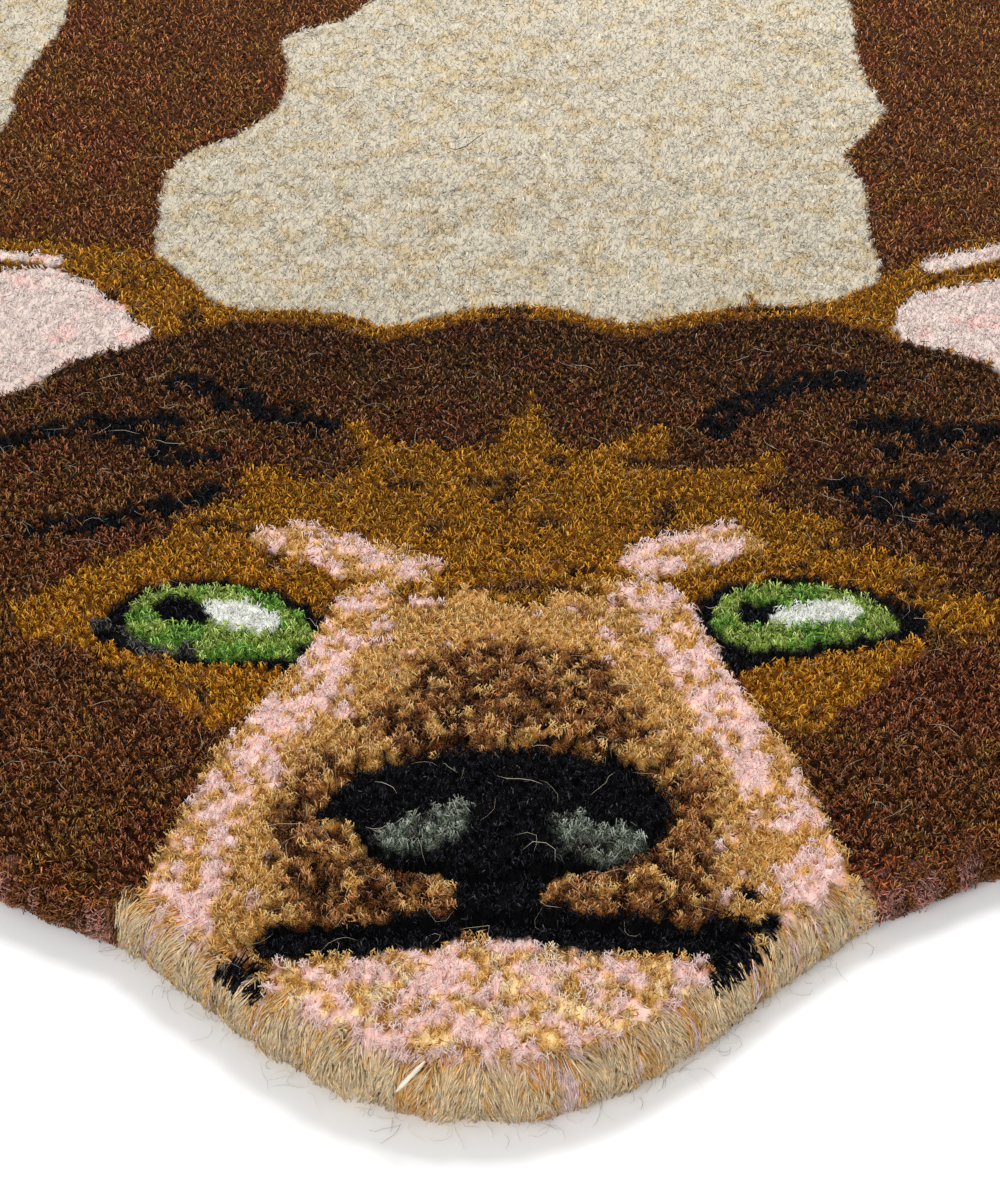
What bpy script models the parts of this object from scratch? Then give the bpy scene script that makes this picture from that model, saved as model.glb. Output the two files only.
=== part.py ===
"""Animal shaped rug with a short carved pile, lying flat: one solid, +Z up, metres.

The head points to -Y and the tail to +Y. The origin is the middle of the underside.
Tables give the right half, with y measured back from the muzzle's tip. The left half
mirrors it, apart from a few places of the hand-cut head.
"""

import bmesh
import bpy

# Driving sizes
LENGTH = 1.500              # muzzle tip to tail tip
PILE_TOP = 0.018            # backing and cut pile together
RIM_RADIUS = 0.006          # the outer tufts fan out and round the rim
MUZZLE_RISE = 0.002         # the muzzle's longer pile
MUZZLE_SHOULDER = 0.0015    # rounding along the muzzle's raised edge
MUZZLE_FOOT = 0.009         # the raised form starts this high, inside the pile
CARVING_WIDTH = 0.007       # lines clipped into the pile around the features
CARVING_DEPTH = 0.0018

# Steps of the curves
OUTLINE_STEPS = 3
RIM_STEPS = 1
CARVING_STEPS = 4
CARVING_SIDES = 1
WELD_DISTANCE = 0.00001     # joins a curve's caps to its sides
SHARP_ANGLE = 0.6           # radians: edges that turn more are drawn sharp

PILE_COLOUR = (0.085, 0.042, 0.020, 1.0)
PILE_ROUGHNESS = 0.95

AUTO = "AUTO"
CORNER = "VECTOR"

# name, x, y, handle
OUTLINE = [
    ("muzzle tip", 0.000, 0.000, AUTO),
    ("muzzle front", 0.028, 0.007, AUTO),
    ("lip corner", 0.054, 0.024, AUTO),
    ("muzzle side", 0.082, 0.051, AUTO),
    ("muzzle corner", 0.108, 0.074, CORNER),
    ("cheek front", 0.146, 0.094, AUTO),
    ("cheek", 0.192, 0.126, AUTO),
    ("cheek side", 0.222, 0.178, AUTO),
    ("cheek back", 0.234, 0.245, AUTO),
    ("ear notch", 0.238, 0.318, CORNER),
    ("ear lower edge", 0.282, 0.336, AUTO),
    ("ear lower tip", 0.326, 0.372, AUTO),
    ("ear tip", 0.346, 0.424, AUTO),
    ("ear upper tip", 0.332, 0.476, AUTO),
    ("ear upper edge", 0.296, 0.506, AUTO),
    ("neck notch", 0.268, 0.517, CORNER),
    ("neck", 0.277, 0.552, AUTO),
    ("front leg root", 0.314, 0.576, AUTO),
    ("front leg", 0.372, 0.564, AUTO),
    ("front paw inner toe", 0.424, 0.546, AUTO),
    ("front paw toe", 0.462, 0.570, AUTO),
    ("front paw tip", 0.475, 0.620, AUTO),
    ("front paw heel", 0.461, 0.674, AUTO),
    ("front leg back", 0.416, 0.714, AUTO),
    ("front leg back root", 0.364, 0.752, AUTO),
    ("flank front", 0.336, 0.812, AUTO),
    ("flank", 0.329, 0.892, AUTO),
    ("flank back", 0.331, 0.972, AUTO),
    ("hind leg root", 0.349, 1.038, AUTO),
    ("hind leg", 0.392, 1.088, AUTO),
    ("hind paw toe", 0.440, 1.134, AUTO),
    ("hind paw tip", 0.472, 1.194, AUTO),
    ("hind paw outer toe", 0.462, 1.256, AUTO),
    ("hind paw heel", 0.416, 1.289, AUTO),
    ("hind leg back", 0.350, 1.282, AUTO),
    ("hind leg back root", 0.280, 1.258, AUTO),
    ("rump", 0.208, 1.256, AUTO),
    ("rump back", 0.136, 1.276, AUTO),
    ("tail root", 0.074, 1.308, AUTO),
    ("tail", 0.052, 1.366, AUTO),
    ("tail brush", 0.054, 1.434, AUTO),
    ("tail brush end", 0.035, 1.485, AUTO),
    ("tail tip", 0.000, 1.500, AUTO),
]

# name, x, y: the raised muzzle, inside the rug's outline
MUZZLE = [
    ("chin", 0.000, 0.007),
    ("chin side", 0.028, 0.014),
    ("lip corner", 0.052, 0.031),
    ("muzzle side", 0.078, 0.057),
    ("muzzle corner", 0.100, 0.080),
    ("muzzle widest", 0.099, 0.104),
    ("muzzle upper side", 0.091, 0.134),
    ("bridge foot", 0.077, 0.163),
    ("bridge", 0.066, 0.190),
    ("bridge top", 0.058, 0.219),
    ("brow", 0.028, 0.229),
    ("brow middle", 0.000, 0.231),
]

# name: how far the left half's place is from the mirrored one, along y
LEFT_SHIFT = {
    "muzzle front": -0.003,
    "chin side": -0.002,
    "lip corner": -0.006,
    "muzzle side": -0.010,
    "muzzle corner": -0.010,
    "rim": -0.010,
    "cheek front": -0.012,
    "cheek": -0.008,
}

# name, x, y: the clipped line round the muzzle, from rim to rim
MUZZLE_LINE = [
    ("rim", 0.116, 0.062),
    ("muzzle corner", 0.106, 0.080),
    ("muzzle widest", 0.102, 0.104),
    ("muzzle upper side", 0.094, 0.135),
    ("bridge foot", 0.080, 0.165),
    ("bridge", 0.069, 0.191),
    ("bridge top", 0.061, 0.222),
    ("brow", 0.029, 0.232),
    ("brow middle", 0.000, 0.234),
]

# name, x, y: the upper lip's line, from mouth corner to mouth corner
MOUTH_LINE = [
    ("mouth corner", 0.072, 0.040),
    ("mouth bend", 0.062, 0.052),
    ("upper lip", 0.034, 0.053),
    ("lip middle", 0.000, 0.058),
]

# name, x, y: a closed line round the nose
NOSE_LINE = [
    ("nose top", 0.000, 0.137),
    ("nose top side", 0.030, 0.132),
    ("nose side", 0.054, 0.108),
    ("nostril side", 0.040, 0.088),
    ("nose foot", 0.016, 0.077),
    ("nose foot middle", 0.000, 0.075),
]

# name, x, y: closed, on one side of the face only
EYE_LINE = [
    ("inner corner", 0.082, 0.186),
    ("lower lid", 0.104, 0.186),
    ("lower lid outer", 0.128, 0.199),
    ("outer corner", 0.142, 0.216),
    ("upper lid", 0.116, 0.228),
    ("upper lid inner", 0.086, 0.216),
]

# name, x, y: closed, round the ear's pale inside
EAR_LINE = [
    ("inner point", 0.152, 0.414),
    ("lower edge", 0.204, 0.368),
    ("lower tip", 0.262, 0.358),
    ("tip", 0.306, 0.414),
    ("upper tip", 0.272, 0.466),
    ("upper edge", 0.206, 0.470),
]

# name, x, y: where the head's pile meets the neck's, from ear to ear
CROWN_LINE = [
    ("ear top", 0.268, 0.514),
    ("ear back", 0.212, 0.502),
    ("ear root", 0.168, 0.482),
    ("head corner", 0.134, 0.444),
    ("side wave", 0.088, 0.440),
    ("dip", 0.048, 0.424),
    ("crown", 0.000, 0.442),
]


def clear_scene():
    for item in list(bpy.data.objects):
        bpy.data.objects.remove(item, do_unlink=True)


def new_collection(name):
    collection = bpy.data.collections.new(name)
    bpy.context.scene.collection.children.link(collection)
    return collection


def row_points(rows):
    """Points of a table, moved so that the rug's middle is the origin."""
    return [(x, y - LENGTH / 2) for _, x, y, *_ in rows]


def both_halves(rows):
    """A table's points, then the left half's; those on the middle line are kept once."""
    right = row_points(rows)
    left = [(-x, y + LEFT_SHIFT.get(row[0], 0.0)) for row, (x, y) in zip(rows, right) if x > 0]
    return right + left[::-1]


def mirrored(points):
    return [(-x, y) for x, y in points]


def bezier(name, points, handles, closed, steps):
    """A flat curve object through the points."""
    curve = bpy.data.curves.new(name, "CURVE")
    curve.dimensions = "2D"
    curve.resolution_u = steps
    spline = curve.splines.new("BEZIER")
    spline.bezier_points.add(len(points) - 1)
    spline.use_cyclic_u = closed
    for knot, (x, y), handle in zip(spline.bezier_points, points, handles):
        knot.co = (x, y, 0.0)
        knot.handle_left_type = handle
        knot.handle_right_type = handle
    return bpy.data.objects.new(name, curve)


def as_mesh_object(curve_object, collection):
    """Swaps a curve object for a mesh one with its caps welded on."""
    collection.objects.link(curve_object)
    bpy.context.view_layer.update()
    depsgraph = bpy.context.evaluated_depsgraph_get()
    mesh = bpy.data.meshes.new_from_object(curve_object.evaluated_get(depsgraph))
    work = bmesh.new()
    work.from_mesh(mesh)
    bmesh.ops.remove_doubles(work, verts=work.verts, dist=WELD_DISTANCE)
    work.to_mesh(mesh)
    work.free()
    name = curve_object.name
    place = curve_object.matrix_world.copy()
    bpy.data.objects.remove(curve_object)
    item = bpy.data.objects.new(name, mesh)
    item.matrix_world = place
    collection.objects.link(item)
    return item


def pile_slab(name, points, handles, bottom, top, rounding, collection):
    """A slab between two heights with round edges, inside the outline."""
    outline = bezier(name, points, handles, True, OUTLINE_STEPS)
    outline.data.fill_mode = "BOTH"
    outline.data.offset = -rounding
    outline.data.bevel_depth = rounding
    outline.data.bevel_resolution = RIM_STEPS
    outline.data.extrude = (top - bottom) / 2 - rounding
    outline.location.z = (top + bottom) / 2
    return as_mesh_object(outline, collection)


def carved_line(name, points, closed, collection):
    """A round cutter that leaves a shallow groove in the pile's top."""
    half_width = CARVING_WIDTH / 2
    radius = (half_width ** 2 + CARVING_DEPTH ** 2) / (2 * CARVING_DEPTH)
    line = bezier(name, points, [AUTO] * len(points), closed, CARVING_STEPS)
    line.data.dimensions = "3D"
    line.data.bevel_depth = radius
    line.data.bevel_resolution = CARVING_SIDES
    line.data.use_fill_caps = True
    line.location.z = PILE_TOP - CARVING_DEPTH + radius
    cutter = as_mesh_object(line, collection)
    cutter.hide_render = True
    cutter.display_type = "WIRE"
    return cutter


def carving(collection):
    """Every clipped line of the face and ears."""
    whole = (
        ("muzzle_line", MUZZLE_LINE, False),
        ("mouth_line", MOUTH_LINE, False),
        ("nose_line", NOSE_LINE, True),
        ("crown_line", CROWN_LINE, False),
    )
    one_side = (("eye_line", EYE_LINE), ("ear_line", EAR_LINE))
    cutters = []
    for name, rows, closed in whole:
        cutters.append(carved_line(name, both_halves(rows), closed, collection))
    for name, rows in one_side:
        right = row_points(rows)
        cutters.append(carved_line(name + "_right", right, True, collection))
        cutters.append(carved_line(name + "_left", mirrored(right), True, collection))
    return cutters


def boolean(item, tool, operation):
    step = item.modifiers.new(tool.name, "BOOLEAN")
    step.operation = operation
    step.object = tool
    step.solver = "EXACT"


def pile_material():
    material = bpy.data.materials.new("pile")
    material.use_nodes = True
    shader = material.node_tree.nodes["Principled BSDF"]
    shader.inputs["Base Color"].default_value = PILE_COLOUR
    shader.inputs["Roughness"].default_value = PILE_ROUGHNESS
    shader.inputs["Metallic"].default_value = 0.0
    return material


def build():
    clear_scene()
    parts = new_collection("animal_shaped_rug")
    cutters = new_collection("cutters")

    handles = [handle for *_, handle in OUTLINE]
    handles += [handle for _, x, _, handle in reversed(OUTLINE) if x > 0]
    rug = pile_slab("rug", both_halves(OUTLINE), handles, 0.0, PILE_TOP, RIM_RADIUS, parts)

    muzzle_points = both_halves(MUZZLE)
    muzzle = pile_slab("muzzle", muzzle_points, [AUTO] * len(muzzle_points),
                       MUZZLE_FOOT, PILE_TOP + MUZZLE_RISE, MUZZLE_SHOULDER, cutters)
    muzzle.hide_render = True
    muzzle.display_type = "WIRE"
    boolean(rug, muzzle, "UNION")

    for cutter in carving(cutters):
        boolean(rug, cutter, "DIFFERENCE")

    rug.data.materials.append(pile_material())
    rug.data.shade_smooth()
    rug.data.set_sharp_from_angle(angle=SHARP_ANGLE)


build()
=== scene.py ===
"""Animal shaped rug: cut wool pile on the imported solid, in metres, with the head towards -Y.

Tables give places on the rug in millimetres: x to the right, y back from the muzzle's tip.
"""

import math

import bpy
import numpy as np
from mathutils import Matrix, Vector
from mathutils.bvhtree import BVHTree
from mathutils.geometry import delaunay_2d_cdt


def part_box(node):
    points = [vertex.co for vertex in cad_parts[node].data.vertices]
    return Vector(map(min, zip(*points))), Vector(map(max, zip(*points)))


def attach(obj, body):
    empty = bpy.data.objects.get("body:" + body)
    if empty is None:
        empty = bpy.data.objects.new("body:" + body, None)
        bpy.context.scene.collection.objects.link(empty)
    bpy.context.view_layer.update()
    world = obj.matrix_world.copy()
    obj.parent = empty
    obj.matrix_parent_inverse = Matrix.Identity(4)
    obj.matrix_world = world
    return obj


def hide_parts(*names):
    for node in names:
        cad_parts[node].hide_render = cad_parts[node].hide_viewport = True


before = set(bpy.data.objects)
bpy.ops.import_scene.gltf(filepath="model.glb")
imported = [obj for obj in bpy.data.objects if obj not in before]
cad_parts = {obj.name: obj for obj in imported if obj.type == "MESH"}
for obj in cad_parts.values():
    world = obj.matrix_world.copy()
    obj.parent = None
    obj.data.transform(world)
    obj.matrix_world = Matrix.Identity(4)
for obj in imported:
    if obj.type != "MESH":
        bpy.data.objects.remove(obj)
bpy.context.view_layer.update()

MM = 0.001
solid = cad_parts["rug"]
MUZZLE_TIP_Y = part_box("rug")[0].y
rng = np.random.default_rng(7)
RIM_INSET = 6.0  # mm: the solid's flat underside ends this far inside its outline

# ----- yarns

# name: red, green, blue as seen under white light, 0 to 255, then the share of fibres made lighter as
# painted highlights, and how far the fibres differ in lightness
YARNS = {
    "brown": (101, 62, 30, 0.18, 1.40),
    "red_brown": (103, 59, 31, 0.20, 1.40),
    "olive_brown": (106, 71, 29, 0.18, 1.40),
    # Brown of the rug's side, painted lighter and pinker: painted light from the white floor
    "floor_lit_side_brown": (138, 100, 88, 0.22, 1.20),
    "olive": (168, 120, 29, 0.14, 1.25),
    "amber": (184, 134, 42, 0.14, 1.20),
    "cream": (206, 200, 187, 0.04, 0.12),
    "cream_shade": (204, 193, 170, 0.04, 0.16),
    "pink": (240, 216, 210, 0.06, 0.14),
    "pale_pink": (232, 220, 214, 0.06, 0.14),
    "tan": (232, 193, 126, 0.12, 0.50),
    "dark_tan": (196, 146, 92, 0.10, 0.70),
    "rim_tan": (250, 228, 192, 0.25, 1.10),
    "black": (11, 11, 16, 0.04, 0.80),
    "charcoal": (84, 82, 76, 0.12, 0.80),
    "nostril": (142, 148, 136, 0.12, 0.80),
    "leaf_green": (172, 190, 104, 0.12, 0.80),
    "grass_green": (134, 176, 82, 0.12, 0.80),
    "white": (231, 232, 226, 0.04, 0.18),
}
YARN_NAMES = list(YARNS)

# name: patch size in mm, how light the wool is, then yarns with their shares
MIXES = {
    "brown": (26, 1.0, {"brown": 0.46, "olive_brown": 0.28, "red_brown": 0.26}),
    # The body's brown: its own mix, painted lighter as the sheen of pile seen from low
    "body_brown": (26, 2.05, {"brown": 0.44, "olive_brown": 0.36, "red_brown": 0.20}),
    "cream": (7, 1.0, {"cream": 0.70, "cream_shade": 0.30}),
    "olive": (14, 1.15, {"olive": 0.70, "amber": 0.20, "olive_brown": 0.10}),
    "head_olive": (14, 1.0, {"olive": 0.70, "amber": 0.20, "olive_brown": 0.10}),
    "ear_pink": (8, 0.91, {"pink": 0.12, "pale_pink": 0.88}),
    "tan": (5, 0.96, {"tan": 0.84, "dark_tan": 0.09, "pink": 0.07}),
    "tan_edge": (5, 1.0, {"tan": 0.55, "olive": 0.45}),
    "pink_band": (4, 1.0, {"pink": 0.56, "tan": 0.44}),
    "speckle": (3, 1.0, {"dark_tan": 0.40, "brown": 0.46, "tan": 0.14}),
    "soft_speckle": (3, 0.95, {"tan": 0.50, "dark_tan": 0.32, "brown": 0.18}),
    "brow": (4, 0.95, {"tan": 0.50, "pink": 0.50}),
    "chin": (4, 0.98, {"pink": 0.48, "tan": 0.36, "rim_tan": 0.16}),
    "black": (8, 1.0, {"black": 1.0}),
    "marks": (3, 1.0, {"black": 0.76, "brown": 0.24}),
    "nostril": (6, 1.0, {"nostril": 0.78, "charcoal": 0.22}),
    "eye_green": (7, 1.0, {"leaf_green": 0.62, "grass_green": 0.38}),
    "eye_grey": (6, 1.0, {"charcoal": 0.7, "black": 0.3}),
    "white": (6, 1.0, {"white": 1.0}),
    "rim_tan": (4, 1.10, {"rim_tan": 0.72, "tan": 0.20, "pink": 0.08}),
    # Brown at the outline: painted light from the white floor on the rug's side
    "brown_edge": (6, 1.3, {"brown": 0.50, "floor_lit_side_brown": 0.50}),
}

# Along the head in mm: how light its brown, marked and olive wool is. The brown and the marks get
# painted light towards the muzzle, for the front lamp and the pile's sheen; the olive is lighter there
# too
HEAD_ALONG = (60, 180, 280, 340, 400)
HEAD_PAINTED_LIGHT = {
    "brown": (1.80, 1.72, 1.45, 1.30, 0.98),
    "marks": (1.80, 1.72, 1.50, 1.35, 0.98),
    "head_olive": (1.36, 1.32, 1.12, 1.14, 1.14),
}

# Painted in this order: mix, form, then x,y of each point. A smooth form is a closed curve, a
# flat one has straight sides, and a number is the width in mm of a stroke along its points.
PATCHES = (
    # The back, the shoulders, the hips and the rump, in brown painted lighter as sheen
    ("body_brown", "flat", -480,430, 480,430, 480,1520, -480,1520),
    ("cream", "smooth", -142,450, -166,490, -172,530, -176,580, -168,608, -150,626, -140,646, -130,676,
     -134,730, -141,765, -124,786, -106,800, -95,830, -62,900, 10,948, 96,930, 160,880, 180,820,
     175,740, 176,700, 180,652, 172,630, 158,604, 155,590, 159,550, 155,500, 157,474, 150,454, 132,436,
     116,430, 98,432, 80,427, 60,420, 45,413, 32,422, 18,432, 0,436, -20,432, -38,424, -58,414, -80,427,
     -98,430, -120,432),
    ("cream", "smooth", -272,640, -277,700, -272,780, -282,850, -330,880, -400,760, -440,690, -400,620,
     -320,600),
    ("cream", "smooth", 300,640, 350,610, 410,640, 430,700, 370,760, 310,740),
    ("cream", "smooth", -240,980, -150,960, -90,1010, -110,1090, -190,1130, -270,1100, -290,1030),
    ("cream", "smooth", 190,990, 270,960, 360,1060, 380,1150, 300,1190, 210,1150, 160,1070),
    ("cream", "smooth", -60,1120, 20,1090, 90,1130, 80,1210, 10,1250, -60,1210),
    # The ears, their insides and their strips
    ("olive", "smooth", -124,426, -146,414, -158,410, -180,397, -208,368, -262,342, -330,372, -352,424,
     -336,484, -296,514, -240,508, -200,502, -166,490, -142,456, -128,438),
    ("olive", "smooth", 124,426, 146,414, 158,404, 180,392, 204,370, 262,342, 330,372, 352,424, 336,484,
     296,514, 240,508, 212,500, 190,490, 164,468, 136,442),
    ("ear_pink", "smooth", -156,413, -166,402, -180,396, -190,384, -208,364, -262,352, -306,392,
     -308,440, -270,472, -216,478, -204,472, -190,460, -184,448, -172,440, -168,428),
    ("ear_pink", "smooth", 157,410, 163,401, 178,394, 190,384, 204,368, 262,352, 306,392, 308,440,
     270,462, 224,466, 204,458, 184,452, 170,446, 162,436, 158,424),
    ("ear_pink", 7, -212,486, -238,492),
    ("ear_pink", 12, 180,474, 194,480, 216,490),
    # The crown
    ("olive", 12, -146,448, -134,437, -118,430, -98,431, -80,427, -66,418, -58,413, -48,417, -38,424,
     -20,431, 0,434, 18,431, 30,423, 44,413, 54,418, 64,423, 80,427, 98,432, 116,430, 134,436, 148,448),
    ("olive", 5, 97,432, 98,443),
    ("head_olive", "flat", -172,214, -150,238, -126,256, -116,277, -101,284, -104,306, -92,309, -84,296,
     -70,298, -62,304, -58,318, -68,338, -60,341, -54,330, -42,320, -34,324, -26,318, -18,322, -10,316,
     -6,330, 0,346, 5,364, 8,350, 12,330, 20,316, 30,320, 40,324, 52,336, 60,332, 58,314, 52,304,
     70,302, 84,308, 104,314, 98,300, 86,284, 104,276, 116,270, 120,252, 142,240, 166,214, 160,196,
     132,183, 118,166, 98,146, 84,148, 60,222, 0,226, -60,222, -78,158, -92,148, -116,166, -140,190,
     -166,198),
    # Its marks, on the left and then on the right
    ("marks", 16, -136,371, -118,366, -106,352, -92,346, -76,335),
    ("marks", 10, -120,352, -98,350),
    ("marks", 12, -200,322, -184,332, -165,340, -148,336, -134,342),
    ("marks", 12, -162,328, -142,326, -134,313, -118,313),
    ("marks", 12, -172,262, -150,268, -134,274, -114,286),
    ("marks", 17, 78,334, 87,348, 100,358, 106,367, 136,372),
    ("marks", 14, 136,334, 152,334, 166,328, 184,330),
    ("marks", 11, 138,314, 154,319, 174,320),
    ("marks", 14, 122,290, 140,290, 152,284),
    ("marks", 16, 132,276, 148,270, 162,266, 176,264),
    # The brows
    ("brow", "flat", -94,260, -84,264, -76,268, -66,263, -52,256, -36,248, -22,241, -25,235, -34,228,
     -40,230, -48,231, -60,232, -68,239, -80,246, -90,251),
    ("brow", "flat", 37,240, 44,232, 58,233, 76,242, 90,250, 86,258, 79,266, 68,263, 54,257, 42,250),
    # The left eye
    ("black", "smooth", -140,205, -136,194, -110,183, -90,181, -62,181, -59,198, -69,214, -89,227,
     -109,231, -130,224),
    ("eye_grey", 8, -138,206, -131,196, -117,189),
    ("eye_green", "smooth", -130,208, -121,194, -97,185, -74,186, -65,194, -71,210, -87,223, -107,228,
     -125,222),
    ("eye_grey", 6, -108,191, -108,187),
    ("black", 7, -67,190, -64,178),
    ("black", "smooth", -123,213, -117,205, -108,203, -98,207, -98,213, -110,219, -120,219),
    ("white", "smooth", -105,211, -92,201, -82,200, -78,206, -82,213, -92,217, -102,217),
    # The right eye
    ("black", "smooth", 62,207, 66,179, 78,180, 94,185, 116,190, 138,198, 140,207, 125,222, 104,231,
     84,229, 70,223),
    ("eye_grey", 6, 72,183, 82,187),
    ("eye_green", "smooth", 69,206, 74,193, 92,190, 114,195, 131,203, 123,218, 103,228, 82,225, 72,217),
    ("black", 8, 67,189, 76,182),
    ("black", 7, 134,205, 137,211),
    ("black", "smooth", 77,210, 82,204, 92,203, 96,209, 90,217, 80,217),
    ("white", "smooth", 88,206, 96,203, 110,206, 120,210, 114,217, 102,216, 92,211),
    # The muzzle, its bands and its bridge
    ("tan", "smooth", 0,-20, 60,-10, 109,48, 104,72, 98,95, 90,130, 77,162, 65,190, 60,212, 54,224,
     46,220, 36,225, 26,216, 14,219, 2,212, -8,218, -20,214, -30,223, -40,219, -52,224, -60,214,
     -66,190, -78,161, -90,130, -98,92, -104,66, -109,48, -60,-10),
    ("tan_edge", 9, -50,223, -30,221, -8,217, 8,214, 24,218, 40,225, 52,224),
    ("pink_band", 19, -90,50, -90,75, -82,115, -70,150, -56,188, -50,216),
    ("pink_band", 19, 88,48, 92,70, 88,95, 79,125, 67,160, 57,198, 48,220),
    ("soft_speckle", "smooth", -15,192, 15,192, 25,185, 40,165, 48,145, 60,125, 66,105, 64,85, 62,60,
     40,50, 0,50, -40,50, -62,60, -66,80, -69,100, -66,120, -55,140, -40,160, -30,180),
    ("speckle", "smooth", -30,130, -38,142, -30,162, -26,178, -10,190, 14,188, 34,178, 36,162, 40,144,
     32,130, 0,124),
    # Speckles beside the nose and on the lips
    ("speckle", 16, -56,116, -58,100, -52,86, -54,74),
    ("speckle", 16, 56,116, 54,98, 50,84),
    ("speckle", "smooth", -60,66, -56,82, -40,90, -22,78, -12,68, -14,58, -40,56),
    ("speckle", "smooth", 14,64, 22,78, 44,86, 58,78, 56,62, 36,56),
    # The nose and its nostrils
    ("black", "smooth", -47,122, -40,127, -25,132, -10,134, 5,138, 20,134, 38,131, 46,122, 51,110,
     48,98, 44,90, 37,85, 24,80, 14,75, 11,54, -11,54, -13,76, -28,81, -38,88, -45,99, -55,106),
    ("nostril", "smooth", -38,94, -30,102, -20,108, -13,112, -10,104, -13,95, -21,88, -31,87),
    ("nostril", "smooth", 17,92, 15,103, 22,106, 27,100, 43,98, 40,89, 30,84, 20,86),
    # The mouth
    ("black", 14, -61,50, -51,51, -34,52, -18,55),
    ("black", 11, -20,55, -6,58),
    ("black", 15, 8,58, 25,54, 42,53, 60,52),
    ("black", 9, 58,53, 70,56),
    ("black", 5, 70,69, 71,69),
    ("black", 6, 77,59, 77,56),
    ("black", 9, 76,44, 75,39),
    # The chin, and the mouth's tufts beside it
    ("chin", "smooth", -60,37, -45,41, -25,46, 0,51, 20,48, 40,43, 58,40, 62,18, 30,-4, 0,-10, -32,-6,
     -62,18),
    ("black", 8, -71,40, -75,36),
    ("black", 8, -74,36, -78,34),
    ("black", 5, -66,38, -66,31),
    ("black", 14, 64,54, 66,44, 67,32),
)
# How far in from the outline the edge's own wool reaches, on the muzzle, where a black mark
# meets its edge, and on the brown wool, then where the muzzle's edge is, all in mm
MUZZLE_REACH, BLACK_REACH, BROWN_REACH = 3.0, 1.5, 0.9
MUZZLE_HALF, MUZZLE_BACK = 109.0, 74.0

FAR, TINY = 1e9, 1e-9
SCRAMBLERS = (73856093, 19349663, 83492791, 1274126177)
NOISE_LEVELS = 65536


def lattice_noise(x, y, size, seed):
    """Smooth noise from 0 to 1, in patches about as wide as size."""
    u, v = x / size, y / size
    column, row = np.floor(u).astype(np.int64), np.floor(v).astype(np.int64)
    a, b = u - column, v - row
    a, b = a * a * (3 - 2 * a), b * b * (3 - 2 * b)

    def corner(i, j):
        h = (column + i) * SCRAMBLERS[0] ^ (row + j) * SCRAMBLERS[1] ^ seed * SCRAMBLERS[2]
        h = (h ^ (h >> 13)) * SCRAMBLERS[3] & 0x7FFFFFFF
        return (h ^ (h >> 15)) % NOISE_LEVELS / NOISE_LEVELS

    low = corner(0, 0) * (1 - a) + corner(1, 0) * a
    high = corner(0, 1) * (1 - a) + corner(1, 1) * a
    return low * (1 - b) + high * b


def smooth_loop(p, steps=6):
    """A closed curve through the points."""
    before, after, beyond = np.roll(p, 1, 0), np.roll(p, -1, 0), np.roll(p, -2, 0)
    rows = []
    for t in np.arange(steps) / steps:
        rows.append(0.5 * (2 * p + (after - before) * t
                           + (2 * before - 5 * p + 4 * after - beyond) * t ** 2
                           + (3 * p - before - 3 * after + beyond) * t ** 3))
    return np.stack(rows, 1).reshape(-1, 2)


def inside_loop(x, y, loop):
    """Whether each point is inside the closed loop."""
    hit = np.zeros(len(x), bool)
    for (ax, ay), (bx, by) in zip(loop, np.roll(loop, -1, 0)):
        if ay == by:
            continue
        crosses = (y >= min(ay, by)) & (y < max(ay, by))
        hit ^= crosses & (x < ax + (y - ay) / (by - ay) * (bx - ax))
    return hit


def nearest(x, y, line):
    """Distance from each point to an open line, and the way there with that length."""
    best, way = np.full(len(x), FAR), np.zeros((len(x), 2))
    for a, b in zip(line[:-1], line[1:]):
        d = b - a
        t = np.clip(((x - a[0]) * d[0] + (y - a[1]) * d[1]) / (d @ d), 0, 1)
        off = np.stack([a[0] + t * d[0] - x, a[1] + t * d[1] - y], 1)
        far = np.hypot(*off.T)
        nearer = far < best
        best[nearer], way[nearer] = far[nearer], off[nearer]
    return best, way


def by_muzzle(x, y):
    """Whether each place is beside the muzzle or in front of it."""
    return (np.abs(x) < MUZZLE_HALF) & (y < MUZZLE_BACK)


def mixes_at(x, y, inset):
    """Number of each tuft's mix, for places and distances in from the outline, in mm."""
    names = list(MIXES)
    found = np.full(len(x), names.index("brown"))
    for mix, form, *points in PATCHES:
        points = np.reshape(points, (-1, 2)).astype(float)
        if form == "smooth":
            covered = inside_loop(x, y, smooth_loop(points))
        elif form == "flat":
            covered = inside_loop(x, y, points)
        else:
            covered = nearest(x, y, points)[0] < form / 2
        found[covered] = names.index(mix)
    rim = (inset < MUZZLE_REACH) & by_muzzle(x, y)
    rim &= (inset < BLACK_REACH) | (found != names.index("black"))
    found[rim] = names.index("rim_tan")
    browns = [names.index("brown"), names.index("body_brown")]
    # Painted light: brown wool at the outline is lighter, lit from the white floor
    found[np.isin(found, browns) & (inset < BROWN_REACH)] = names.index("brown_edge")
    return found


CLUMPS = ((0.65, 1, 11), (0.20, 3, 12))  # what they count for, how much finer, and their seed
CHANCE = 0.15  # what chance counts for
ROW_SHADE = 0.09  # how much the bands of tufts across the rug differ
BAND, BAND_STRETCH = 9, 0.2  # mm from a band's front to its back, and how that is to its width


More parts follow.
